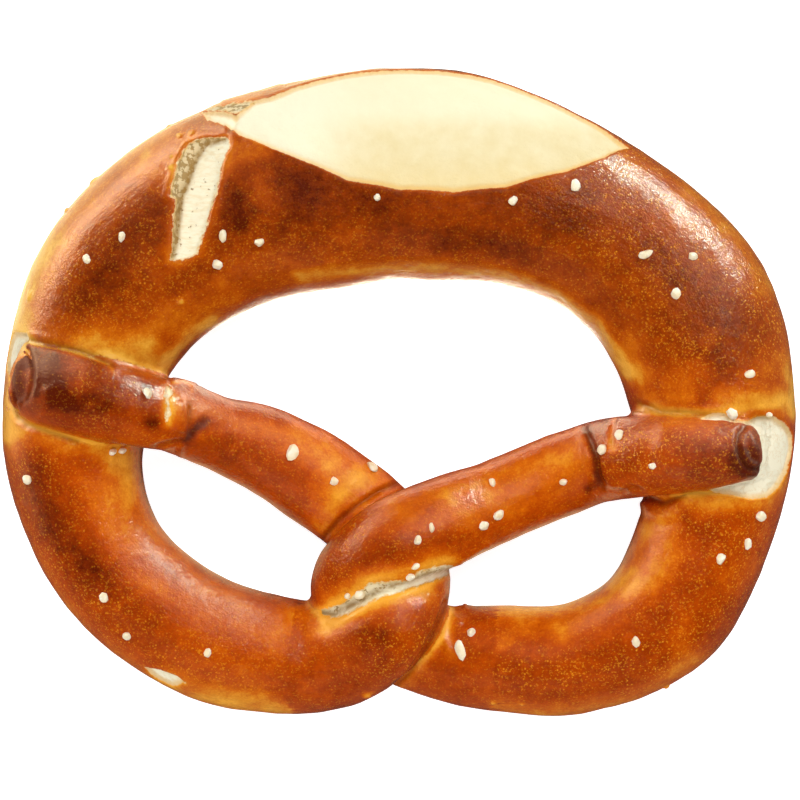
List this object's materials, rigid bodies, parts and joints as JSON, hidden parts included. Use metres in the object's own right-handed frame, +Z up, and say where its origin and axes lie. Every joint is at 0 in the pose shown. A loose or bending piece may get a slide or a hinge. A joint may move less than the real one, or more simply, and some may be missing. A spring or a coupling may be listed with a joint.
{
  "type": "soft pretzel",
  "caption": "Baked soft pretzel with a thick belly, crossed and twisted arms pressed on the ring, a pale score and coarse salt, lying on its flat base",
  "frame": {"origin": "middle of the pretzel's extent on the plane that its flat underside rests on", "axes": "+Z up out of the tray, +X along the pretzel's width, +Y from the twist towards the thick belly"},
  "size_m": [0.1606, 0.1312, 0.0342],
  "materials": {
    "crust": "browned lye crust, satin to glossy",
    "salt": "coarse matt grains"
  },
  "bodies": {
    "root": {"pretzel": "crust"}
  },
  "joints": []
}
